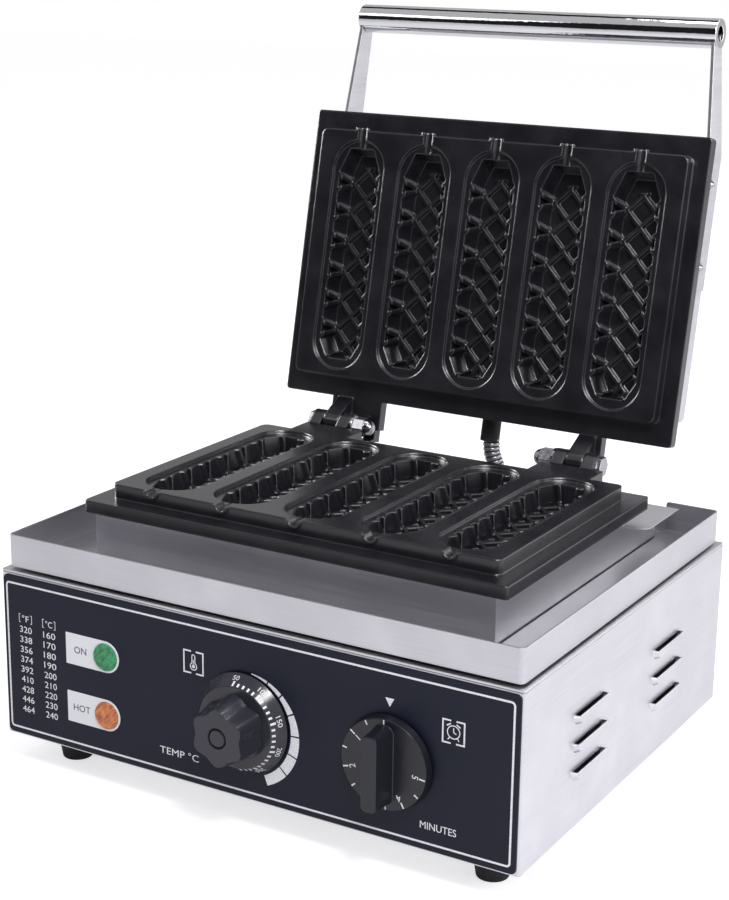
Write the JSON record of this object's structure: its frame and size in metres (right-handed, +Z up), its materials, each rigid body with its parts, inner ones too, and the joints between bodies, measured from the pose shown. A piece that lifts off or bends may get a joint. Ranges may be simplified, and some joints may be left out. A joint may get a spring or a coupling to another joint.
{
  "type": "corn dog waffle maker",
  "caption": "Countertop corn dog waffle maker with hinged cast plates, a tube handle, drip tray, dial thermostat, timer and indicator lamps, shown with its lid open.",
  "frame": {"origin": "on the floor under the middle of the machine's footprint with the lid open", "axes": "+Z up, front with the controls towards -Y, +X to the right seen from the front"},
  "size_m": [0.387, 0.4143, 0.485],
  "materials": {
    "stainless_sheet": "satin",
    "zinc_steel": "satin",
    "bright_steel": "polished",
    "chrome_tube": "polished",
    "coated_casting": "satin",
    "heater_sheath": "matte",
    "conduit_steel": "satin",
    "copper_tube": "satin",
    "panel_film": "satin",
    "white_label": "satin",
    "green_lens": "gloss",
    "orange_lens": "gloss",
    "black_plastic": "satin",
    "white_ceramic": "gloss",
    "black_rubber": "matte"
  },
  "bodies": {
    "base": {"casing": "stainless_sheet", "rear_panel": "stainless_sheet", "bottom_plate": "stainless_sheet", "deck_plate": "stainless_sheet", "foot_1": "black_rubber", "foot_2": "black_rubber", "foot_3": "black_rubber", "foot_4": "black_rubber", "foot_screw_1": "zinc_steel", "foot_screw_2": "zinc_steel", "foot_screw_3": "zinc_steel", "foot_screw_4": "zinc_steel", "control_panel": "panel_film", "label_plate_green": "white_label", "label_plate_orange": "white_label", "lamp_lens_green": "green_lens", "lamp_lens_orange": "orange_lens", "lamp_body_green": "black_plastic", "lamp_body_orange": "black_plastic", "thermostat_body": "black_plastic", "timer_body": "black_plastic", "terminal_block": "white_ceramic", "cord_gland": "black_plastic", "conduit_gland": "bright_steel", "plate_housing": "stainless_sheet", "rear_cover": "stainless_sheet", "lower_plate": "coated_casting", "lower_heater": "heater_sheath", "lower_shield": "zinc_steel", "thermostat_bulb": "copper_tube", "hinge_bolt_left": "bright_steel", "hinge_bolt_right": "bright_steel", "hinge_washer_left": "bright_steel", "hinge_washer_right": "bright_steel", "hinge_nut_left": "bright_steel", "hinge_nut_right": "bright_steel", "conduit": "conduit_steel"},
    "tray": {"drip_tray": "stainless_sheet"},
    "lid": {"upper_plate": "coated_casting", "upper_heater": "heater_sheath", "upper_shield": "zinc_steel", "lid_cover": "stainless_sheet", "handle_strap_left": "stainless_sheet", "handle_strap_right": "stainless_sheet", "handle_tube": "chrome_tube", "strap_bolt_left_front": "bright_steel", "strap_bolt_left_rear": "bright_steel", "strap_bolt_right_front": "bright_steel", "strap_bolt_right_rear": "bright_steel", "conduit_sleeve": "black_rubber"},
    "thermostat_knob": {"thermostat_spindle": "bright_steel", "thermostat_dial": "black_plastic", "thermostat_grip": "black_plastic"},
    "timer_control": {"timer_spindle": "bright_steel", "timer_knob": "black_plastic"}
  },
  "joints": [
    {"name": "lid_hinge", "type": "hinge", "parent": "base", "child": "lid", "pos_m": [0, 0.09635, 0.187], "axis": [1, 0, 0], "range_deg": [0, 102.15], "deforming": ["conduit"]},
    {"name": "tray_slide", "type": "slide", "parent": "base", "child": "tray", "axis": [0, -1, 0], "range_m": [0, 0.26]},
    {"name": "thermostat_turn", "type": "hinge", "parent": "base", "child": "thermostat_knob", "pos_m": [0.0017, -0.17665, 0.074], "axis": [0, 1, 0], "range_deg": [-215, 0]},
    {"name": "timer_turn", "type": "hinge", "parent": "base", "child": "timer_control", "pos_m": [0.104, -0.17665, 0.074], "axis": [0, 1, 0], "range_deg": [0, 270]}
  ]
}
